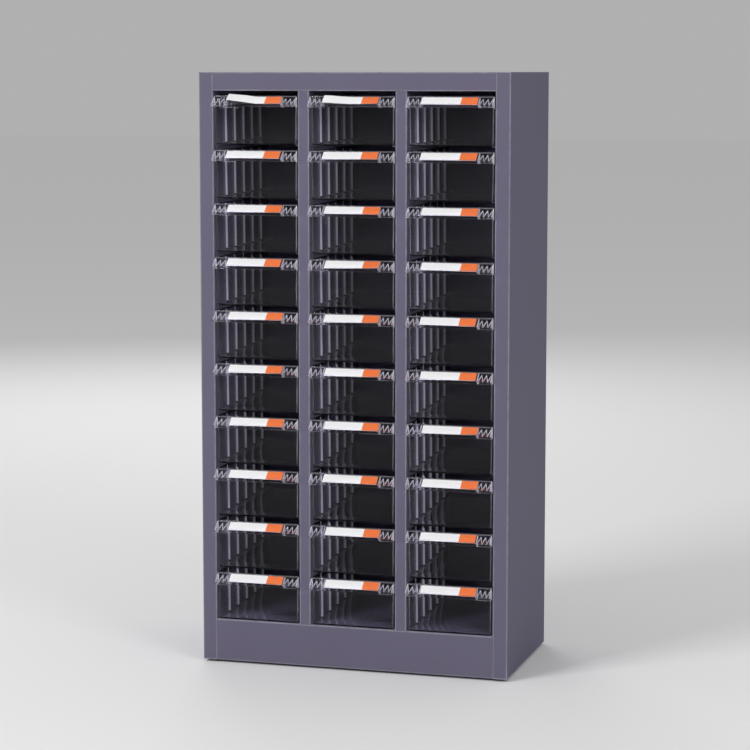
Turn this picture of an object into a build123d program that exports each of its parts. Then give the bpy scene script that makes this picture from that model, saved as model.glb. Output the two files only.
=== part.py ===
from build123d import *
import math
import os

# Parts cabinet: a sheet-steel carcass with three columns of ten clear plastic bins.
# Millimetres. +Z is up, the open front faces -Y. The origin lies on the floor,
# below the middle of the cabinet's outline with its label lips.

# Carcass
cabinet_width = 500.0
cabinet_depth = 270.0
cabinet_height = 940.0
columns = 3
rows = 10
top_rail_height = 29.0
base_rail_height = 67.0
stile_width = 23.5
mullion_width = 18.0
sheet = 1.0
liner_sheet = 0.8
bend_radius = 0.8
front_return = 15.0
rear_flange = 12.0
base_flange = 15.0
deck_flange = 12.0

# Runners
runner_sheet = 1.0
runner_ledge = 9.0
runner_flange = 5.5
runner_setback = 1.0
runner_rear_gap = 3.0

# Feet
foot_height = 4.0
foot_side = 24.0
foot_clip = 6.0
foot_margin = 3.0
gusset_sheet = 2.0
gusset_side = 46.0
gusset_clip = 20.0

# Bins
bin_side_gap = 1.5
bin_lift = 0.2
bin_top_gap = 6.5
bin_rear_gap = 12.0
bin_setback = 1.0
bin_wall = 2.0
bin_floor = 2.0
bin_draft = 0.8
bin_corner = 3.5
bin_corner_inside = 2.5
compartments = 6
rib_width = 1.8
rib_reach = 2.6
rib_drop = 10.0

# Label lip of a bin, measured along and across its slope
lip_tilt = 50.0
lip_sheet = 1.6
lip_finger = 4.0
lip_web = 1.6
lip_web_drop = 5.0
card_width = 88.0
card_height = 16.5
card_sheet = 0.4
card_play = 0.5
card_slot = 0.8
card_hook = 1.0
card_hook_sheet = 0.8
card_hook_cover = 1.2

# Heights of the carcass, from the floor up
carcass_bottom = foot_height
deck_top = carcass_bottom + base_rail_height
carcass_top = cabinet_height
skin_top = carcass_top - sheet
rail_underside = carcass_top - top_rail_height
row_pitch = (rail_underside - deck_top) / rows

# Widths across the front
opening_width = (cabinet_width - 2 * stile_width - (columns - 1) * mullion_width) / columns
column_pitch = opening_width + mullion_width
half_width = cabinet_width / 2
bin_width = opening_width - 2 * bin_side_gap

# The lip's slope: down and forward along it, up and forward square to it
lip_down = Vector(-math.sin(math.radians(lip_tilt)), -math.cos(math.radians(lip_tilt)))
lip_out = Vector(-math.cos(math.radians(lip_tilt)), math.sin(math.radians(lip_tilt)))
card_start = card_hook
card_end = card_start + card_height + card_play
lip_length = card_end + card_hook + lip_finger
lip_rise = card_slot + card_hook_sheet
lip_reach = -lip_down.X * lip_length

# Depths: the lips stand out in front of the face, and the outline is centred on the origin
face_y = (lip_reach - bin_setback - cabinet_depth) / 2
back_y = face_y + cabinet_depth
back_inside = back_y - 2 * sheet

# Heights and depths of one bin
bin_height = row_pitch - runner_sheet - bin_top_gap - bin_lift
bin_front = face_y + bin_setback
bin_depth = back_inside - bin_rear_gap - bin_front


def column_centre(column):
    """Middle of a column's opening, counted from the left."""
    return (column - (columns + 1) / 2) * column_pitch


def row_floor(row):
    """Height of the surface that a row's bins run on, counted from the top row."""
    return deck_top + (rows - row) * row_pitch


def folded_section(points, thickness):
    """Section of a folded sheet: its outside runs through the points, the sheet lies on their left."""
    outside = [Vector(*point) for point in points]
    runs = [(end - start).normalized() for start, end in zip(outside, outside[1:])]
    lefts = [Vector(-run.Y, run.X) * thickness for run in runs]
    corners = [
        corner + (before + after) / (1 + before.dot(after) / thickness**2)
        for corner, before, after in zip(outside[1:-1], lefts, lefts[1:])
    ]
    inside = [outside[0] + lefts[0], *corners, outside[-1] + lefts[-1]]
    outer = FilletPolyline(*outside, radius=bend_radius + thickness)
    inner = FilletPolyline(*inside, radius=bend_radius)
    ends = [Line(outside[0], inside[0]), Line(outside[-1], inside[-1])]
    return make_face([*outer.edges(), *inner.edges(), *ends])


def upright(section, bottom, top):
    """Extrude a plan section between two heights."""
    return extrude(Pos(0, 0, bottom) * section, amount=top - bottom)


def crosswise(section, left, right):
    """Extrude a side section, drawn as depth and height, between two places across the width."""
    return extrude(Plane.YZ.offset(left) * section, amount=right - left)


def lengthwise(section, front, back):
    """Extrude a front section, drawn as width and height, between two depths."""
    return extrude(Plane.XZ.offset(-back) * section, amount=back - front)


def block(left, right, front, back, bottom, top):
    """A rectangular block between its six sides."""
    middle = ((left + right) / 2, (front + back) / 2, (bottom + top) / 2)
    return Pos(*middle) * Box(right - left, back - front, top - bottom)


def mirrored(shape):
    """The same piece for the cabinet's left side."""
    return mirror(shape, about=Plane.YZ)


def side_panel():
    """Right side: outer skin, front stile with its return, rear flange and bottom flange."""
    plan = [
        (half_width - stile_width, face_y + front_return),
        (half_width - stile_width, face_y),
        (half_width, face_y),
        (half_width, back_y),
        (half_width - rear_flange, back_y),
    ]
    skin = upright(folded_section(plan, sheet), carcass_bottom, skin_top)
    flange = block(
        half_width - base_flange,
        half_width - sheet,
        face_y + front_return,
        back_inside - base_flange,
        carcass_bottom,
        carcass_bottom + sheet,
    )
    return skin + flange


def top_panel():
    """Top sheet folded down as the front rail, with a return below it and a flange at the back."""
    side = [
        (back_y, carcass_top - rear_flange),
        (back_y, carcass_top),
        (face_y, carcass_top),
        (face_y, rail_underside),
        (face_y + front_return, rail_underside),
    ]
    reach = half_width - stile_width
    folded = crosswise(folded_section(side, sheet), -reach, reach)
    right_end = block(reach, half_width, face_y, back_y, skin_top, carcass_top)
    return folded + right_end + mirrored(right_end)


def base_rail():
    """Channel below the bins, between the stiles."""
    side = [
        (face_y + front_return, deck_top),
        (face_y, deck_top),
        (face_y, carcass_bottom),
        (face_y + front_return, carcass_bottom),
    ]
    reach = half_width - stile_width
    return crosswise(folded_section(side, sheet), -reach, reach)


def deck():
    """Floor of the cabinet, folded down along the front and the back."""
    side = [
        (back_inside, deck_top - deck_flange),
        (back_inside, deck_top),
        (face_y + front_return, deck_top),
        (face_y + front_return, deck_top - deck_flange),
    ]
    reach = half_width - sheet
    return crosswise(folded_section(side, sheet), -reach, reach)


def back_panel():
    """Back sheet inside the rear flanges, folded forward at the bottom."""
    side = [
        (back_inside - base_flange, carcass_bottom),
        (back_y - sheet, carcass_bottom),
        (back_y - sheet, skin_top - bend_radius),
    ]
    reach = half_width - sheet - bend_radius
    return crosswise(folded_section(side, sheet), -reach, reach)


def liner():
    """Inner skin of the right side: a shallow tray, its face in line with the stile's edge."""
    inner_face = half_width - stile_width
    front = face_y + front_return
    plan = [
        (half_width - sheet, back_inside),
        (inner_face, back_inside),
        (inner_face, front),
        (half_width - sheet, front),
    ]
    return upright(folded_section(plan, liner_sheet), deck_top, skin_top)


def partition(centre):
    """Double-walled partition, folded from one sheet around the front of its mullion."""
    half = mullion_width / 2
    plan = [
        (centre - half, back_inside),
        (centre - half, face_y),
        (centre + half, face_y),
        (centre + half, back_inside),
    ]
    walls = upright(folded_section(plan, liner_sheet), deck_top, skin_top)
    rail_notch = block(
        centre - mullion_width,
        centre + mullion_width,
        face_y - front_return,
        face_y + front_return,
        rail_underside,
        carcass_top,
    )
    return walls - rail_notch


def runner(side_face, inward):
    """Angle runner: a ledge under the bin's edge and a flange down the wall that carries it."""
    section = Polyline(
        (side_face, 0),
        (side_face + inward * runner_ledge, 0),
        (side_face + inward * runner_ledge, -runner_sheet),
        (side_face + inward * runner_sheet, -runner_sheet),
        (side_face + inward * runner_sheet, -runner_sheet - runner_flange),
        (side_face, -runner_sheet - runner_flange),
        close=True,
    )
    front = face_y + front_return + runner_setback
    return lengthwise(make_face(section.edges()), front, back_inside - runner_rear_gap)


def runners(column):
    """Both runners of every bin in a column. The lowest bin runs on the deck itself."""
    left_wall = column_centre(column) - opening_width / 2
    right_wall = column_centre(column) + opening_width / 2
    pair = [runner(left_wall, 1), runner(right_wall, -1)]
    return [Pos(0, 0, row_floor(row)) * piece for row in range(1, rows) for piece in pair]


def clipped_rectangle(width, depth, clip):
    """A rectangle with its corners cut off."""
    outline = Rectangle(width, depth)
    return chamfer(outline.vertices(), clip)


def foot_places():
    """Centres of the four feet, clear of the base's flanges."""
    inset = base_flange + foot_margin + foot_side / 2
    across = half_width - inset
    return [(x, y) for x in (-across, across) for y in (face_y + inset, back_y - inset)]


def foot(x, y):
    """Square glide with clipped corners, under its gusset."""
    pad = clipped_rectangle(foot_side, foot_side, foot_clip)
    return extrude(Pos(x, y) * pad, amount=carcass_bottom + sheet)


def gusset(x, y):
    """Corner plate on the base's flanges, with its inner corner clipped."""
    left_right = math.copysign(1, x)
    front_back = math.copysign(1, y - (face_y + back_y) / 2)
    corner_x = left_right * (half_width - sheet - bend_radius)
    corner_y = back_inside - bend_radius if front_back > 0 else face_y + front_return
    near_x = corner_x - left_right * gusset_side
    near_y = corner_y - front_back * gusset_side
    outline = Polyline(
        (corner_x, corner_y),
        (near_x, corner_y),
        (near_x, near_y + front_back * gusset_clip),
        (near_x + left_right * gusset_clip, near_y),
        (corner_x, near_y),
        close=True,
    )
    plate = make_face(outline.edges())
    return extrude(Pos(0, 0, carcass_bottom + sheet) * plate, amount=gusset_sheet)


def lip_point(along, out):
    """Place on the lip's slope, as depth and height in the bin."""
    root = Vector(bin_front, bin_height - lip_rise * lip_out.Y)
    return root + lip_down * along + lip_out * out


def lip_section():
    """The sloping lip with a hook above and below the card."""
    root = -bin_wall / 2 / -lip_down.X
    outline = [
        (root, -lip_sheet),
        (lip_length, -lip_sheet),
        (lip_length, 0),
        (card_end + card_hook, 0),
        (card_end + card_hook, lip_rise),
        (card_end - card_hook_cover, lip_rise),
        (card_end - card_hook_cover, card_slot),
        (card_end, card_slot),
        (card_end, 0),
        (card_start, 0),
        (card_start, card_slot),
        (card_start + card_hook_cover, card_slot),
        (card_start + card_hook_cover, lip_rise),
        (card_start - card_hook, lip_rise),
        (root, 0),
    ]
    corners = [lip_point(along, out) for along, out in outline]
    return make_face(Polyline(*corners, close=True).edges())


def lip_web_section():
    """Web under the lip, from the front wall to the lower hook."""
    tip = lip_point(card_end, -lip_sheet / 2)
    heel = Vector(bin_front + bin_wall / 2, tip.Y - lip_web_drop)
    top = lip_point(0, -lip_sheet / 2) + Vector(bin_wall / 2, 0)
    return make_face(Polyline(top, tip, heel, close=True).edges())


def bin_body():
    """Open bin with drafted walls, divider ribs down both sides and a label lip."""
    middle_y = bin_front + bin_depth / 2
    taper = math.tan(math.radians(bin_draft))
    foot_width = bin_width - 2 * bin_height * taper
    foot_depth = bin_depth - 2 * bin_height * taper
    base = clipped_rectangle(foot_width, foot_depth, bin_corner)
    outer = extrude(Pos(0, middle_y) * base, amount=bin_height, taper=-bin_draft)
    grown = 2 * (bin_floor * taper - bin_wall)
    hollow = clipped_rectangle(foot_width + grown, foot_depth + grown, bin_corner_inside)
    place = Pos(0, middle_y, bin_floor)
    cavity = extrude(place * hollow, amount=bin_height - bin_floor, taper=-bin_draft)
    rib_inside = foot_width / 2 - bin_wall - rib_reach
    for station in range(1, compartments):
        rib_y = bin_front + bin_wall + station * (bin_depth - 2 * bin_wall) / compartments
        rib_front = rib_y - rib_width / 2
        rib_top = bin_height - rib_drop
        rib = block(rib_inside, bin_width / 2, rib_front, rib_front + rib_width, 0, rib_top)
        cavity -= rib
        cavity -= mirrored(rib)
    body = outer - cavity
    body += crosswise(lip_section(), -bin_width / 2, bin_width / 2)
    inner_web = card_width / 2 + card_play
    for web_left in (-inner_web - lip_web, inner_web):
        body += crosswise(lip_web_section(), web_left, web_left + lip_web)
    return body


def card():
    """Label card, lying between the lip's hooks."""
    lower = (card_slot - card_sheet) / 2
    start = card_start + card_play / 2
    corners = [
        lip_point(start, lower),
        lip_point(start + card_height, lower),
        lip_point(start + card_height, lower + card_sheet),
        lip_point(start, lower + card_sheet),
    ]
    section = make_face(Polyline(*corners, close=True).edges())
    return crosswise(section, -card_width / 2, card_width / 2)


def save(name, *solids):
    """Write one node."""
    shape = solids[0] if len(solids) == 1 else Compound(children=list(solids))
    export_step(shape, f"parts/{name}.step")


os.makedirs("parts", exist_ok=True)

right_side = side_panel()
save("side_right", right_side)
save("side_left", mirrored(right_side))
save("top_panel", top_panel())
save("base_rail", base_rail())
save("deck", deck())
save("back_panel", back_panel())

right_liner = liner()
save("liner_right", right_liner)
save("liner_left", mirrored(right_liner))

for column in range(1, columns + 1):
    save(f"runners_c{column}", *runners(column))
    if column < columns:
        save(f"partition_{column}", partition(column_centre(column) + column_pitch / 2))

save("feet", *[foot(x, y) for x, y in foot_places()])
save("gussets", *[gusset(x, y) for x, y in foot_places()])

one_bin = bin_body()
one_card = card()
for row in range(1, rows + 1):
    for column in range(1, columns + 1):
        place = Pos(column_centre(column), 0, row_floor(row) + bin_lift)
        save(f"bin_r{row:02d}_c{column}", place * one_bin, place * one_card)
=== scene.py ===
import bmesh
import bpy
import math
import random
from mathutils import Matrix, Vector


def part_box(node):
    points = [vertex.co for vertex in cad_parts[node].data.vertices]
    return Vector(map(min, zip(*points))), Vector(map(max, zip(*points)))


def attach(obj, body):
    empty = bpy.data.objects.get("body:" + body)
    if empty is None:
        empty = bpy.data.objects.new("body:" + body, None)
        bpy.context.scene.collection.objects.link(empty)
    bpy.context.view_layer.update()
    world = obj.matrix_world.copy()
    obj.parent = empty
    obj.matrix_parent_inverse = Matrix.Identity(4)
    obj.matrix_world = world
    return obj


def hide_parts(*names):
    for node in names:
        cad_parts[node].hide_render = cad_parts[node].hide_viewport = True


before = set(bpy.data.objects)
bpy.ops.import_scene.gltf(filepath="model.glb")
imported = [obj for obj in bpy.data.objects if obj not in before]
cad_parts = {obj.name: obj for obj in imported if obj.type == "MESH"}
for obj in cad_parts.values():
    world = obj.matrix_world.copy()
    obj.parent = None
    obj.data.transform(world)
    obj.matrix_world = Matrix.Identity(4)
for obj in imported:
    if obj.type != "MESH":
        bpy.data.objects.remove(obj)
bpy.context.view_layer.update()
MM = 0.001

# ---------------------------------------------------------------- camera
# The cabinet is seen from its right at the height of its top edge, by a long lens from almost
# four metres away.
eye = Vector((1.088, -3.730, 0.940))
looked_at = Vector((0.0, 0.0, 0.457))
lens_mm = 117.0

lens = bpy.data.cameras.new("camera")
lens.lens = lens_mm
lens.sensor_width = 36.0
lens.clip_start = 0.05
lens.clip_end = 100.0
camera = bpy.data.objects.new("camera", lens)
bpy.context.scene.collection.objects.link(camera)
camera.location = eye
camera.rotation_euler = (looked_at - eye).to_track_quat("-Z", "Y").to_euler()
bpy.context.scene.camera = camera

# ---------------------------------------------------------------- studio
# A plain pale floor that runs out of sight into a backdrop of the same tone, a large soft lamp
# from the left of the camera, a weaker one from the right, and one for the back.
bpy.context.scene.view_settings.view_transform = "Standard"
floor_half = 30.0
floor_paint = (0.90, 0.90, 0.905, 1)
ambient_color = (1.0, 1.0, 1.0, 1)
ambient_level = 0.47
backdrop_level = 1.03 * ambient_level

floor_mesh = bpy.data.meshes.new("studio_floor")
floor_corners = [(x * floor_half, y * floor_half, 0) for x, y in ((-1, -1), (1, -1), (1, 1), (-1, 1))]
floor_mesh.from_pydata(floor_corners, [], [(0, 1, 2, 3)])
studio_floor = bpy.data.objects.new("studio_floor", floor_mesh)
bpy.context.scene.collection.objects.link(studio_floor)
pale_floor = bpy.data.materials.new("pale_floor")
pale_floor.use_nodes = True
surface = pale_floor.node_tree.nodes["Principled BSDF"]
surface.inputs["Base Color"].default_value = floor_paint
surface.inputs["Roughness"].default_value = 0.9
surface.inputs["Specular IOR Level"].default_value = 0.0
floor_mesh.materials.append(pale_floor)


def worked_out(nodes, links, operation, *values):
    """One sum of shader values and plain numbers."""
    node = nodes.new("ShaderNodeMath")
    node.operation = operation
    for value, socket in zip(values, node.inputs):
        if isinstance(value, (int, float)):
            socket.default_value = value
        else:
            links.new(value, socket)
    return node.outputs["Value"]


sky = bpy.data.worlds.new("studio")
sky.use_nodes = True
bpy.context.scene.world = sky
sky_nodes, sky_links = sky.node_tree.nodes, sky.node_tree.links
ambient = sky_nodes["Background"]
ambient.inputs["Color"].default_value = ambient_color
ambient.inputs["Strength"].default_value = ambient_level
backdrop = sky_nodes.new("ShaderNodeBackground")
backdrop.inputs["Color"].default_value = floor_paint
backdrop.inputs["Strength"].default_value = backdrop_level
rays = sky_nodes.new("ShaderNodeLightPath").outputs
seen = worked_out(sky_nodes, sky_links, "MAXIMUM", rays["Is Camera Ray"], rays["Is Glossy Ray"])
seen = worked_out(sky_nodes, sky_links, "MAXIMUM", seen, rays["Is Transmission Ray"])
sky_mix = sky_nodes.new("ShaderNodeMixShader")
sky_links.new(seen, sky_mix.inputs["Fac"])
sky_links.new(ambient.outputs["Background"], sky_mix.inputs[1])
sky_links.new(backdrop.outputs["Background"], sky_mix.inputs[2])
sky_links.new(sky_mix.outputs["Shader"], sky_nodes["World Output"].inputs["Surface"])


def softbox(name, place, aim, size, watts):
    """A square soft lamp that faces a point."""
    lamp = bpy.data.lights.new(name, "AREA")
    lamp.shape = "SQUARE"
    lamp.size = size
    lamp.energy = watts
    holder = bpy.data.objects.new(name, lamp)
    bpy.context.scene.collection.objects.link(holder)
    holder.location = place
    holder.rotation_euler = (Vector(aim) - Vector(place)).to_track_quat("-Z", "Y").to_euler()


softbox("key_lamp", (-2.6, -3.7, 2.9), (0, 0, 0.5), 1.8, 118)
softbox("fill_lamp", (2.8, -2.3, 2.0), (0, 0, 0.6), 1.3, 27)
softbox("back_lamp", (-1.6, 3.2, 2.4), (0, 0, 0.5), 1.6, 30)

# ---------------------------------------------------------------- carcass
# Folded sheet steel, spot welded, then powder coated in a dark violet grey. The coat has a fine
# orange peel and carries a little dust. Its edges are painted paler, partly as wear and partly as
# a painted highlight, and its outer front bends and the bottom hem carry painted highlight lines.
coat_color = (0.146, 0.134, 0.194, 1)
coat_color_dull = (0.131, 0.120, 0.174, 1)
coat_patch_scale = 7.0
coat_roughness = (0.44, 0.56)
coat_gloss = 0.04
peel_scale = 520.0
peel_depth = 0.12 * MM
peel_strength = 0.22
sheet_wave_scale = 9.0
sheet_wave_depth = 1.2 * MM
sheet_wave_strength = 0.25

# A paler coat colour, for worn edges and for painted highlights along edges, bends and the hem.
wear_and_highlight_color = (0.31, 0.30, 0.36, 1)
edge_wear_and_highlight_radius = 1.2 * MM
edge_wear_and_highlight_turn = (0.995, 0.80)
edge_wear_and_highlight_most = 0.5
band_reach = 2.4 * MM
band_core = 0.4
bend_highlight_least, bend_highlight_most = 0.45, 0.85
blotch_scale = 90.0
blotch_range = (0.3, 0.6)

dust_color = (0.36, 0.35, 0.35, 1)
dust_slope = 0.85
dust_most = 0.16

weld_pitch = 92.0 * MM
weld_inset = 6.0 * MM
weld_radius = 4.6 * MM
weld_flat = 0.6 * weld_radius
weld_depth = 0.6 * MM
weld_color = (0.070, 0.064, 0.095, 1)
weld_tint = 0.45

face_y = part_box("base_rail")[0].y
back_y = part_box("side_right")[1].y
weld_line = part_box("side_right")[1].x - weld_inset


def new_finish(name):
    """A material, with its nodes, links and surface shader, and where each point of the piece is."""
    finish = bpy.data.materials.new(name)
    finish.use_nodes = True
    nodes, links = finish.node_tree.nodes, finish.node_tree.links
    place = nodes.new("ShaderNodeTexCoord").outputs["Object"]
    return finish, nodes, links, nodes["Principled BSDF"], place


def mottled(nodes, links, place, scale, detail=2.0):
    """A cloudy pattern between 0 and 1."""
    node = nodes.new("ShaderNodeTexNoise")
    node.inputs["Scale"].default_value = scale
    node.inputs["Detail"].default_value = detail
    links.new(place, node.inputs["Vector"])
    return node.outputs["Fac"]


def spread(nodes, links, source, source_range, result_range):
    """A value carried from one range over to another, and held at its ends."""
    node = nodes.new("ShaderNodeMapRange")
    node.inputs["From Min"].default_value, node.inputs["From Max"].default_value = source_range
    node.inputs["To Min"].default_value, node.inputs["To Max"].default_value = result_range
    links.new(source, node.inputs["Value"])
    return node.outputs["Result"]


def mixed(nodes, links, share, first, second):
    """Two colours mixed by a share of the second. Each is a plain colour or a shader value."""
    node = nodes.new("ShaderNodeMix")
    node.data_type = "RGBA"
    links.new(share, node.inputs["Factor"])
    for color, socket in ((first, node.inputs["A"]), (second, node.inputs["B"])):
        if isinstance(color, tuple):
            socket.default_value = color
        else:
            links.new(color, socket)
    return node.outputs["Result"]


def relief(nodes, links, height, depth, strength=1.0, below=None):
    """Fine relief of the given depth, on top of the relief below it."""
    node = nodes.new("ShaderNodeBump")
    node.inputs["Strength"].default_value = strength
    node.inputs["Distance"].default_value = depth
    links.new(height, node.inputs["Height"])
    if below is not None:
        links.new(below.outputs["Normal"], node.inputs["Normal"])
    return node


def near(nodes, links, coordinate, place, reach):
    """1 where a coordinate is at the place and at its core, falling to 0 at its reach."""
    gap = worked_out(nodes, links, "SUBTRACT", coordinate, place)
    gap = worked_out(nodes, links, "ABSOLUTE", gap)
    return spread(nodes, links, gap, (band_core * reach, reach), (1.0, 0.0))


def powder_coat(name, upright_bends=(), level_bends=(), hem=None):
    """Powder coat over steel, with edges paler as wear and painted highlight, and painted highlight lines
    along the front bends and a hem at the bottom.
    """
    coat, nodes, links, shader, place = new_finish(name)
    parts = nodes.new("ShaderNodeSeparateXYZ")
    links.new(place, parts.inputs["Vector"])
    sideways = worked_out(nodes, links, "ABSOLUTE", parts.outputs["X"])
    deep, high = parts.outputs["Y"], parts.outputs["Z"]
    patches = mottled(nodes, links, place, coat_patch_scale, 4.0)
    color = mixed(nodes, links, patches, coat_color_dull, coat_color)

    # Edges are painted paler, partly as wear and partly as a painted highlight where light would catch
    # them.
    eased = nodes.new("ShaderNodeBevel")
    eased.samples = 4
    eased.inputs["Radius"].default_value = edge_wear_and_highlight_radius
    surface = nodes.new("ShaderNodeNewGeometry")
    turn = nodes.new("ShaderNodeVectorMath")
    turn.operation = "DOT_PRODUCT"
    links.new(eased.outputs["Normal"], turn.inputs[0])
    links.new(surface.outputs["Normal"], turn.inputs[1])
    wear_and_highlight = spread(nodes, links, turn.outputs["Value"], edge_wear_and_highlight_turn, (0.0, edge_wear_and_highlight_most))
    blotches = mottled(nodes, links, place, blotch_scale, 3.0)
    # Painted highlight lines along the outer front bends and the hem, their strength varied at random by a
    # cloudy pattern.
    lines = [near(nodes, links, sideways, bend, band_reach) for bend in upright_bends]
    lines += [near(nodes, links, high, bend, band_reach) for bend in level_bends]
    if lines:
        at_front = near(nodes, links, deep, face_y, band_reach)
        bends = worked_out(nodes, links, "MAXIMUM", lines[0], lines[-1])
        bends = worked_out(nodes, links, "MULTIPLY", at_front, bends)
        if hem is not None:
            at_hem = near(nodes, links, high, hem, band_reach)
            bends = worked_out(nodes, links, "MAXIMUM", bends, at_hem)
        bend_highlight_strength = spread(nodes, links, blotches, blotch_range, (bend_highlight_least, bend_highlight_most))
        bends = worked_out(nodes, links, "MULTIPLY", bends, bend_highlight_strength)
        wear_and_highlight = worked_out(nodes, links, "MAXIMUM", bends, wear_and_highlight)
    color = mixed(nodes, links, wear_and_highlight, color, wear_and_highlight_color)

    facing = nodes.new("ShaderNodeSeparateXYZ")
    links.new(surface.outputs["Normal"], facing.inputs["Vector"])
    upward = spread(nodes, links, facing.outputs["Z"], (dust_slope, 1.0), (0.0, dust_most))
    settled = worked_out(nodes, links, "MULTIPLY", upward, blotches)
    color = mixed(nodes, links, settled, color, dust_color)

    weld_place = nodes.new("ShaderNodeCombineXYZ")
    links.new(worked_out(nodes, links, "PINGPONG", high, weld_pitch / 2), weld_place.inputs["X"])
    links.new(worked_out(nodes, links, "SUBTRACT", sideways, weld_line), weld_place.inputs["Y"])
    weld_gap = nodes.new("ShaderNodeVectorMath")
    weld_gap.operation = "LENGTH"
    links.new(weld_place.outputs["Vector"], weld_gap.inputs[0])
    weld_gap = weld_gap.outputs["Value"]
    weld_dent = spread(nodes, links, weld_gap, (weld_flat, weld_radius), (1.0, 0.0))
    at_back = near(nodes, links, deep, back_y, band_reach)
    weld_mark = worked_out(nodes, links, "MULTIPLY", weld_dent, at_back)
    weld_shade = worked_out(nodes, links, "MULTIPLY", weld_mark, weld_tint)
    color = mixed(nodes, links, weld_shade, color, weld_color)
    links.new(color, shader.inputs["Base Color"])

    waves = mottled(nodes, links, place, sheet_wave_scale, 1.0)
    wavy = relief(nodes, links, waves, sheet_wave_depth, sheet_wave_strength)
    dented = relief(nodes, links, weld_mark, weld_depth, 1.0, wavy)
    dented.invert = True
    peel = mottled(nodes, links, place, peel_scale)
    peeled = relief(nodes, links, peel, peel_depth, peel_strength, dented)
    links.new(peeled.outputs["Normal"], shader.inputs["Normal"])
    links.new(spread(nodes, links, patches, (0.0, 1.0), coat_roughness), shader.inputs["Roughness"])
    shader.inputs["Specular IOR Level"].default_value = coat_gloss
    return coat


def front_bends(node, axis):
    """Where a sheet's outermost folds lie along the width, 0, or the height, 2."""
    low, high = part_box(node)
    return [abs(low[axis]), abs(high[axis])]


side_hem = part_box("side_right")[0].z
side_coat = powder_coat("coat_of_the_sides", upright_bends=front_bends("side_right", 0), hem=side_hem)
partition_coat = powder_coat("coat_of_the_partitions", upright_bends=front_bends("partition_2", 0))
top_coat = powder_coat("coat_of_the_top", level_bends=front_bends("top_panel", 2))
base_coat = powder_coat("coat_of_the_base", level_bends=front_bends("base_rail", 2))
inner_coat = powder_coat("coat_of_the_inside")
inner_sheets = ("deck", "back_panel", "liner_left", "liner_right", "gussets")
runners = ("runners_c1", "runners_c2", "runners_c3")
for coat, sheets in (
    (side_coat, ("side_left", "side_right")),
    (partition_coat, ("partition_1", "partition_2")),
    (top_coat, ("top_panel",)),
    (base_coat, ("base_rail",)),
    (inner_coat, inner_sheets + runners),
):
    for sheet in sheets:
        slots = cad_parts[sheet].data.materials
        slots.clear()
        slots.append(coat)

# ---------------------------------------------------------------- feet
# Four moulded rubber glides that are pushed up into the base. Each is a low square pad with
# clipped corners, a rounded lower rim and a dished underside.
rubber_color = (0.022, 0.022, 0.024, 1)
rubber_color_dusty = (0.05, 0.048, 0.046, 1)
rubber_speck_scale = 900.0
rubber_speck_depth = 0.08 * MM
rubber_roughness = 0.75
foot_side = 24.0 * MM
foot_clip = 6.0 * MM
foot_clip_shares = (0.0, 0.12, 0.88, 1.0)
foot_clip_ease = 0.05 * MM
foot_rim = 1.0 * MM
foot_rim_steps = 4
foot_dish = 0.8 * MM
foot_dish_half, foot_dish_clip = 0.32 * foot_side, 0.6 * foot_clip
foot_tread_half, foot_tread_clip = 0.36 * foot_side, 0.7 * foot_clip
sharp_corner = math.radians(35.0)

rubber, nodes, links, shader, place = new_finish("black_rubber")
specks = mottled(nodes, links, place, rubber_speck_scale)
links.new(mixed(nodes, links, specks, rubber_color, rubber_color_dusty), shader.inputs["Base Color"])
pitted = relief(nodes, links, specks, rubber_speck_depth)
links.new(pitted.outputs["Normal"], shader.inputs["Normal"])
shader.inputs["Roughness"].default_value = rubber_roughness


def built(name, shape, *finishes):
    """The mesh of a finished shape, smooth up to its sharp corners, with its finishes."""
    bmesh.ops.recalc_face_normals(shape, faces=shape.faces)
    mesh = bpy.data.meshes.new(name)
    shape.to_mesh(mesh)
    shape.free()
    mesh.polygons.foreach_set("use_smooth", [True] * len(mesh.polygons))
    mesh.set_sharp_from_angle(angle=sharp_corner)
    for finish in finishes:
        mesh.materials.append(finish)
    return mesh


def add_piece(name, mesh):
    """Put a mesh in the scene."""
    piece = bpy.data.objects.new(name, mesh)
    bpy.context.scene.collection.objects.link(piece)
    return piece


def skin(shape, lower, upper):
    """Close the band between two rings of corners."""
    for k in range(len(lower)):
        n = (k + 1) % len(lower)
        shape.faces.new((lower[k], lower[n], upper[n], upper[k]))


def pad_ring(shape, x, y, z, half, clip):
    """One level of a glide: a square with its corners clipped and the clips' ends eased."""
    corners = []
    for sx, sy in ((1, -1), (1, 1), (-1, 1), (-1, -1)):
        first = (half - clip, half) if sx * sy < 0 else (half, half - clip)
        last = first[::-1]
        for share in foot_clip_shares:
            ease = foot_clip_ease if 0.0 < share < 1.0 else 0.0
            across = first[0] + (last[0] - first[0]) * share - ease
            along = first[1] + (last[1] - first[1]) * share - ease
            corners.append(shape.verts.new((x + sx * across, y + sy * along, z)))
    return corners


feet_low, feet_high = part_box("feet")
shape = bmesh.new()
for x in (feet_low.x + foot_side / 2, feet_high.x - foot_side / 2):
    for y in (feet_low.y + foot_side / 2, feet_high.y - foot_side / 2):
        rings = [
            pad_ring(shape, x, y, foot_dish, foot_dish_half, foot_dish_clip),
            pad_ring(shape, x, y, 0.0, foot_tread_half, foot_tread_clip),
        ]
        for step in range(foot_rim_steps + 1):
            angle = math.radians(90 * step / foot_rim_steps)
            half = foot_side / 2 - foot_rim * (1 - math.sin(angle))
            rings.append(pad_ring(shape, x, y, foot_rim * (1 - math.cos(angle)), half, foot_clip))
        rings.append(pad_ring(shape, x, y, feet_high.z, foot_side / 2, foot_clip))
        shape.faces.new(rings[0][::-1])
        shape.faces.new(rings[-1])
        for lower, upper in zip(rings, rings[1:]):
            skin(shape, lower, upper)
glides = add_piece("glides", built("glides", shape, rubber))
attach(glides, "carcass")
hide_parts("feet")

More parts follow.
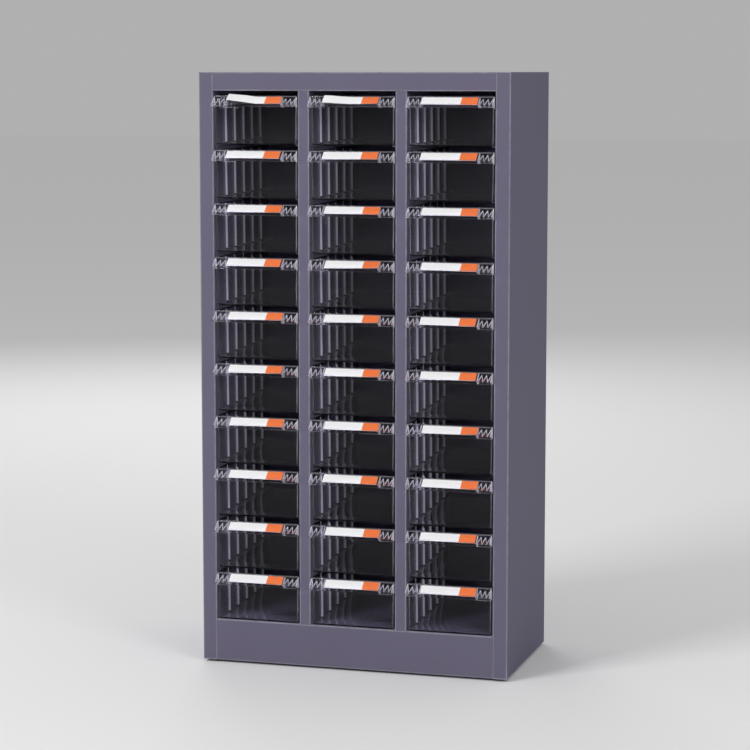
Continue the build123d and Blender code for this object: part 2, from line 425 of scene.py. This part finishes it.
# ---------------------------------------------------------------- bins
# Thirty injection moulded bins of clear plastic, with drafted walls and ribs for dividers down
# both sides. A sloping lip with two hooks holds the label, stiffened from below by upright webs
# and, at its ends, by thin ribs in a zigzag.
rows = 10
columns = 3
first_low, first_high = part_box("bin_r01_c1")
bin_width = first_high.x - first_low.x
bin_height = first_high.z - first_low.z
bin_depth = 255.0 * MM
bin_back = first_high.y
bin_front = bin_back - bin_depth
bin_wall = 2.0 * MM
bin_floor = 2.0 * MM
draft = math.tan(math.radians(0.8))
corner_outside = 4.5 * MM
corner_inside = 2.8 * MM
corner_steps = 6
bottom_round = 1.6 * MM
floor_round = 1.8 * MM
round_steps = 3
rim_round = 0.7 * MM
rim_steps = 4
rim_below_top = 0.999
rim_inner_edge = 1.2 * MM
corner_slant = 0.7
corner_tall = 0.5 * bin_height

compartments = 6
rib_width = 1.8 * MM
rib_reach = 2.6 * MM
rib_flank = 0.5 * MM
rib_top_drop = 10.0 * MM
rib_top_slope = 3.0 * MM
rib_run = bin_depth - 2 * bin_wall
rib_stations = [bin_front + bin_wall + k * rib_run / compartments for k in range(1, compartments)]

card_width = 88.0 * MM
card_height = 16.5 * MM
card_play = 0.5 * MM
card_slot = 0.8 * MM
lip_tilt = math.radians(50.0)
lip_sheet = 1.6 * MM
lip_finger = 4.0 * MM
hook_root = 1.0 * MM
hook_sheet = 0.8 * MM
hook_cover = 1.2 * MM
hook_finish_reach = 4.5 * MM
hook_finish_margin = 0.2 * MM
tip_round, tip_shoulder, tip_fall = 0.5 * MM, 0.13 * MM, 0.2 * MM
hook_round, hook_shoulder, hook_fall = 0.35 * MM, 0.1 * MM, 0.25 * MM
root_round, root_fall = 0.3 * MM, 0.2 * MM
card_end = hook_root + card_height + card_play
lip_length = card_end + hook_root + lip_finger
lip_rise = card_slot + hook_sheet

web_sheet = 1.6 * MM
web_top = 0.8 * MM
web_drop = 5.0 * MM
zigzag_start = card_width / 2 + 3.0 * MM
zigzag_pitch = 3.8 * MM
zigzag_strokes = 5
zigzag_low = 17.2 * MM
zigzag_high = 3.8 * MM
zigzag_width = 1.0 * MM
zigzag_depth = 0.9 * MM
zigzag_sunk = 0.2 * MM
clear_finish, rib_highlight_finish, hook_finish, web_highlight_finish = range(4)


def bin_loop(height, inset, corner, rib):
    """One level of the bin's wall: a rounded rectangle whose long sides step in at the ribs."""
    half_x = bin_width / 2 - (bin_height - height) * draft - inset
    half_y = bin_depth / 2 - (bin_height - height) * draft - inset
    middle_y = (bin_front + bin_back) / 2
    steps = []
    for station in rib_stations:
        steps += [
            (station - rib_width / 2 - rib_flank, 0.0),
            (station - rib_width / 2, rib),
            (station + rib_width / 2, rib),
            (station + rib_width / 2 + rib_flank, 0.0),
        ]
    points = []
    for quarter, (sx, sy) in enumerate(((1, -1), (1, 1), (-1, 1), (-1, -1))):
        cx = sx * (half_x - corner)
        cy = middle_y + sy * (half_y - corner)
        for step in range(corner_steps + 1):
            angle = math.radians(-90 + 90 * quarter + 90 * step / corner_steps)
            points.append(Vector((cx + corner * math.cos(angle), cy + corner * math.sin(angle), height)))
        if quarter == 0:
            points += [Vector((half_x - deep, y, height)) for y, deep in steps]
        if quarter == 2:
            points += [Vector((-half_x + deep, y, height)) for y, deep in reversed(steps)]
    return points


def bin_levels():
    """All levels of the wall, from the rounded bottom edge over the rim to the floor inside."""
    levels = []
    for step in range(round_steps + 1):
        angle = math.radians(90 * step / round_steps)
        inward = bottom_round * (1 - math.sin(angle))
        levels.append(bin_loop(bottom_round * (1 - math.cos(angle)), inward, corner_outside - inward, 0.0))
    for step in range(rim_steps + 1):
        angle = math.radians(180 * step / rim_steps)
        levels.append(bin_loop(
            bin_height - rim_round + rim_round * math.sin(angle) * rim_below_top,
            rim_round * (1 - math.cos(angle)),
            corner_outside - (corner_outside - corner_inside) * step / rim_steps,
            0.0,
        ))
    levels.append(bin_loop(bin_height - rim_round - rim_inner_edge, bin_wall, corner_inside, 0.0))
    levels.append(bin_loop(bin_height - rib_top_drop, bin_wall, corner_inside, 0.0))
    levels.append(bin_loop(bin_height - rib_top_drop - rib_top_slope, bin_wall, corner_inside, rib_reach))
    for step in range(round_steps + 1):
        angle = math.radians(90 * step / round_steps)
        levels.append(bin_loop(
            bin_floor + floor_round * (1 - math.sin(angle)),
            bin_wall + floor_round * (1 - math.cos(angle)),
            corner_inside,
            rib_reach,
        ))
    return levels


def on_lip(along, out):
    """Depth and height of a place on the lip's slope."""
    down_y, down_z = -math.sin(lip_tilt), -math.cos(lip_tilt)
    out_y, out_z = -math.cos(lip_tilt), math.sin(lip_tilt)
    root_z = bin_height - lip_rise * out_z
    return (bin_front + down_y * along + out_y * out, root_z + down_z * along + out_z * out)


def bar(shape, section, left, right, finish):
    """A straight bar across the width with the given section of depths and heights."""
    left_end = [shape.verts.new((left, y, z)) for y, z in section]
    right_end = [shape.verts.new((right, y, z)) for y, z in section]
    sides = [shape.faces.new(left_end), shape.faces.new(right_end[::-1])]
    for k in range(len(section)):
        n = (k + 1) % len(section)
        sides.append(shape.faces.new((left_end[k], right_end[k], right_end[n], left_end[n])))
    for side in sides:
        side.material_index = finish
    return sides


def zigzag_stroke(shape, first, last):
    """A thin rib below the lip between two places, each across the bin and down the slope."""
    run = Vector(last) - Vector(first)
    aside = Vector((-run.y, run.x)).normalized() * zigzag_width / 2
    corners = [Vector(first) - aside, Vector(last) - aside, Vector(last) + aside, Vector(first) + aside]
    rings = []
    for out in (-lip_sheet - zigzag_depth, -lip_sheet + zigzag_sunk):
        rings.append([shape.verts.new((x, *on_lip(along, out))) for x, along in corners])
    faces = [shape.faces.new(rings[0]), shape.faces.new(rings[1][::-1])]
    for k in range(4):
        n = (k + 1) % 4
        faces.append(shape.faces.new((rings[0][k], rings[0][n], rings[1][n], rings[1][k])))
    for face in faces:
        face.material_index = web_highlight_finish


lip_root = -bin_wall / 2 / math.sin(lip_tilt)
lower_hook = card_end + hook_root
lip_outline = [
    on_lip(lip_root, -lip_sheet),
    on_lip(lip_length - tip_round, -lip_sheet),
    on_lip(lip_length - tip_shoulder, -lip_sheet + tip_fall),
    on_lip(lip_length, -lip_sheet / 2),
    on_lip(lip_length - tip_shoulder, -tip_fall),
    on_lip(lip_length - tip_round, 0),
    on_lip(lower_hook, 0),
    on_lip(lower_hook - hook_shoulder, lip_rise - hook_fall),
    on_lip(lower_hook - hook_round, lip_rise),
    on_lip(card_end - hook_cover, lip_rise),
    on_lip(card_end - hook_cover, card_slot),
    on_lip(card_end, card_slot),
    on_lip(card_end, 0),
    on_lip(hook_root, 0),
    on_lip(hook_root, card_slot),
    on_lip(hook_root + hook_cover, card_slot),
    on_lip(hook_root + hook_cover, lip_rise),
    on_lip(root_round, lip_rise),
    on_lip(0, lip_rise - root_fall),
    on_lip(lip_root, 0),
]
web_outline = [
    on_lip(web_top, -lip_sheet / 2),
    on_lip(card_end, -lip_sheet / 2),
    (bin_front + bin_wall / 2, on_lip(card_end, -lip_sheet / 2)[1] - web_drop),
]

shape = bmesh.new()
loops = [[shape.verts.new(point) for point in level] for level in bin_levels()]
shape.faces.new(loops[0][::-1])
shape.faces.new(loops[-1])
for lower, upper in zip(loops, loops[1:]):
    skin(shape, lower, upper)

hook_lowest = on_lip(hook_root + hook_cover + hook_finish_margin, hook_finish_margin / 2)[1]
lip_ends_and_sides = bar(shape, lip_outline, -bin_width / 2, bin_width / 2, clear_finish)
for side in lip_ends_and_sides[2:]:
    middle = side.calc_center_median()
    if middle.z > hook_lowest and (bin_front - middle.y) / math.sin(lip_tilt) < hook_finish_reach:
        side.material_index = hook_finish

inner_web = card_width / 2 + card_play
for web_left in (-bin_width / 2, -inner_web - web_sheet, inner_web, bin_width / 2 - web_sheet):
    bar(shape, web_outline, web_left, web_left + web_sheet, web_highlight_finish)
zigzag = [
    (zigzag_start + k * zigzag_pitch, zigzag_high if k % 2 else zigzag_low)
    for k in range(zigzag_strokes + 1)
]
for side in (-1, 1):
    for first, last in zip(zigzag, zigzag[1:]):
        zigzag_stroke(shape, (side * first[0], first[1]), (side * last[0], last[1]))

bmesh.ops.recalc_face_normals(shape, faces=shape.faces)
for face in shape.faces:
    middle = face.calc_center_median()
    at_rib = min(abs(middle.y - station) for station in rib_stations) < rib_width / 2 + rib_flank
    on_wall = bin_width / 2 - 3 * bin_wall < abs(middle.x) < bin_width / 2 - bin_wall
    # The rib faces take a pale, nearly opaque plastic: a painted highlight for the light streaks that
    # clear ribs catch.
    if at_rib and on_wall and bin_floor + floor_round < middle.z:
        face.material_index = rib_highlight_finish
    # The tall front corners take the cloudy hook plastic, a painted highlight for the glint along a clear
    # moulded corner.
    faced = sorted((abs(face.normal.x), abs(face.normal.y)))
    slant = faced[0] / max(faced[1], 0.001)
    tall = max(vert.co.z for vert in face.verts) - min(vert.co.z for vert in face.verts)
    if slant > corner_slant and tall > corner_tall and middle.y < bin_front + corner_outside:
        face.material_index = hook_finish

clear_color = (0.80, 0.785, 0.85, 1)
clear_ior = 1.22
clear_lamp_tint = (0.97, 0.97, 0.98, 1)
haze_scale = 60.0
haze_roughness = (0.02, 0.09)
flow_depth = 0.25 * MM
flow_strength = 0.25
cloudy_ior = 1.4
cloudy_smoothest = 0.4
grain_depth = 0.1 * MM
grain_strength = 0.5

clear_plastic, nodes, links, shader, place = new_finish("clear_plastic")
shader.inputs["Base Color"].default_value = clear_color
shader.inputs["IOR"].default_value = clear_ior
shader.inputs["Transmission Weight"].default_value = 1.0
haze = mottled(nodes, links, place, haze_scale, 5.0)
links.new(spread(nodes, links, haze, (0.0, 1.0), haze_roughness), shader.inputs["Roughness"])
flow = relief(nodes, links, haze, flow_depth, flow_strength)
links.new(flow.outputs["Normal"], shader.inputs["Normal"])
ray = nodes.new("ShaderNodeLightPath")
through = nodes.new("ShaderNodeBsdfTransparent")
through.inputs["Color"].default_value = clear_lamp_tint
lamp_light = nodes.new("ShaderNodeMixShader")
links.new(ray.outputs["Is Shadow Ray"], lamp_light.inputs["Fac"])
links.new(shader.outputs["BSDF"], lamp_light.inputs[1])
links.new(through.outputs["BSDF"], lamp_light.inputs[2])
links.new(lamp_light.outputs["Shader"], nodes["Material Output"].inputs["Surface"])


def cloudy_plastic(name, color, see_through, grain_scale, roughest):
    """Plastic that light doesn't pass clearly, with a fine etched grain. On the ribs, webs and front
    corners of the clear bins it is a painted highlight for glints of clear plastic.
    """
    cloudy, nodes, links, shader, place = new_finish(name)
    shader.inputs["Base Color"].default_value = color
    shader.inputs["IOR"].default_value = cloudy_ior
    shader.inputs["Alpha"].default_value = 1 - see_through
    grain = mottled(nodes, links, place, grain_scale)
    roughness = spread(nodes, links, grain, (0.0, 1.0), (cloudy_smoothest * roughest, roughest))
    links.new(roughness, shader.inputs["Roughness"])
    etched = relief(nodes, links, grain, grain_depth, grain_strength)
    links.new(etched.outputs["Normal"], shader.inputs["Normal"])
    return cloudy


# The pale rib plastic is a painted highlight for the streaks of light along clear ribs.
rib_highlight_plastic = cloudy_plastic("rib_highlight_plastic", (0.93, 0.91, 1.0, 1), 0.06, 400.0, 0.4)
hook_plastic = cloudy_plastic("hook_plastic", (0.55, 0.54, 0.59, 1), 0.84, 300.0, 0.25)
# The pale web plastic on the webs and zigzag ribs is a painted highlight for the glints at the lip's ends.
web_highlight_plastic = cloudy_plastic("web_highlight_plastic", (0.84, 0.83, 0.88, 1), 0.52, 300.0, 0.25)
bin_mesh = built("moulded_bin", shape, clear_plastic, rib_highlight_plastic, hook_plastic, web_highlight_plastic)


def bin_place(node):
    """Where a bin stands: the middle of its width, and its underside."""
    low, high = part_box(node)
    return Vector(((low.x + high.x) / 2, 0, low.z))


bin_nodes = {(r, c): f"bin_r{r:02d}_c{c}" for r in range(1, rows + 1) for c in range(1, columns + 1)}
for node in bin_nodes.values():
    moulded = add_piece(f"clear_{node}", bin_mesh)
    moulded.location = bin_place(node)
    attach(moulded, f"{node}_body")
    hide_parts(node)

# ---------------------------------------------------------------- labels
# Thirty printed paper cards, white with an orange block at the right end. Each lies loose between
# the hooks of its lip, bowed and shifted a little, and the left ends of the first two have
# slipped up over the upper hook.
paper_color = (0.95, 0.95, 0.955, 1)
paper_color_fibres = (0.89, 0.89, 0.90, 1)
paper_fibre_scale = 1400.0
paper_fibre_depth = 0.03 * MM
paper_roughness = 0.62
print_color = (0.88, 0.13, 0.038, 1)
print_color_pale = (0.95, 0.26, 0.06, 1)
print_mottle_scale = 260.0
print_roughness = 0.5
print_start = 0.71
card_sheet = 0.35 * MM
card_columns = 34
card_rows = 6
card_bow = (0.2, 1.1)
card_lopsided = 0.5
card_shift = 2.2
card_twist = 0.45
card_sprung_ends = (0.0, 0.0, 0.0, 1.0, 2.6)
slipped_cards = {(1, 1): 5.0 * MM, (1, 2): 2.0 * MM}
slipped_reach = 0.6
slipped_curve = 1.6
climb_rate = 3.0
climb_rise = 4.0 * MM

paper, nodes, links, shader, place = new_finish("white_paper")
fibres = mottled(nodes, links, place, paper_fibre_scale, 3.0)
links.new(mixed(nodes, links, fibres, paper_color_fibres, paper_color), shader.inputs["Base Color"])
fuzz = relief(nodes, links, fibres, paper_fibre_depth)
links.new(fuzz.outputs["Normal"], shader.inputs["Normal"])
shader.inputs["Roughness"].default_value = paper_roughness

ink, nodes, links, shader, place = new_finish("orange_print")
mottle = mottled(nodes, links, place, print_mottle_scale, 4.0)
links.new(mixed(nodes, links, mottle, print_color, print_color_pale), shader.inputs["Base Color"])
shader.inputs["Roughness"].default_value = print_roughness


def card_mesh(name, chance, slipped):
    """One label card: a thin strip, bowed out between the hooks. Its left end may have slipped up."""
    bow = chance.uniform(*card_bow) * MM
    lopsided = chance.uniform(-card_lopsided, card_lopsided)
    slide = chance.uniform(-card_shift, card_shift) * MM
    twist = chance.uniform(-card_twist, card_twist) * MM
    sprung = chance.choice(card_sprung_ends) * MM
    sprung_right = chance.choice((0, 1))
    start = hook_root + card_play / 2
    sheet = bmesh.new()
    grid = {}
    for i in range(card_columns + 1):
        across = i / card_columns
        wave = math.sin(math.pi * across) * (1 + lopsided * math.sin(2 * math.pi * across))
        pulled = slipped * max(0.0, 1 - across / slipped_reach) ** slipped_curve
        over_hook = min(1.0, climb_rate * pulled / climb_rise) * (lip_rise + card_sheet)
        for j in range(card_rows + 1):
            down = j / card_rows
            loose = (across if sprung_right else 1 - across) ** 3 * down
            out = card_slot / 2 + bow * wave * math.sin(math.pi * down) + sprung * loose + over_hook
            along = start + down * card_height + twist * (2 * across - 1) - pulled
            x = (across - 0.5) * card_width + slide
            for side, thick in ((0, -card_sheet / 2), (1, card_sheet / 2)):
                y, z = on_lip(along, out + thick)
                grid[i, j, side] = sheet.verts.new((x, y, z))
    for i in range(card_columns):
        printed = (i + 0.5) / card_columns > print_start
        for j in range(card_rows):
            for side in (0, 1):
                corners = [(i, j, side), (i + 1, j, side), (i + 1, j + 1, side), (i, j + 1, side)]
                face = sheet.faces.new([grid[corner] for corner in corners])
                face.material_index = 1 if printed and side == 1 else 0
    for i in range(card_columns):
        for j in (0, card_rows):
            sheet.faces.new((grid[i, j, 0], grid[i + 1, j, 0], grid[i + 1, j, 1], grid[i, j, 1]))
    for j in range(card_rows):
        for i in (0, card_columns):
            sheet.faces.new((grid[i, j, 0], grid[i, j + 1, 0], grid[i, j + 1, 1], grid[i, j, 1]))
    return built(name, sheet, paper, ink)


chance = random.Random(7)
for (row, column), node in bin_nodes.items():
    name = f"label_r{row:02d}_c{column}"
    label = add_piece(name, card_mesh(name, chance, slipped_cards.get((row, column), 0.0)))
    label.location = bin_place(node)
    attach(label, f"{node}_body")
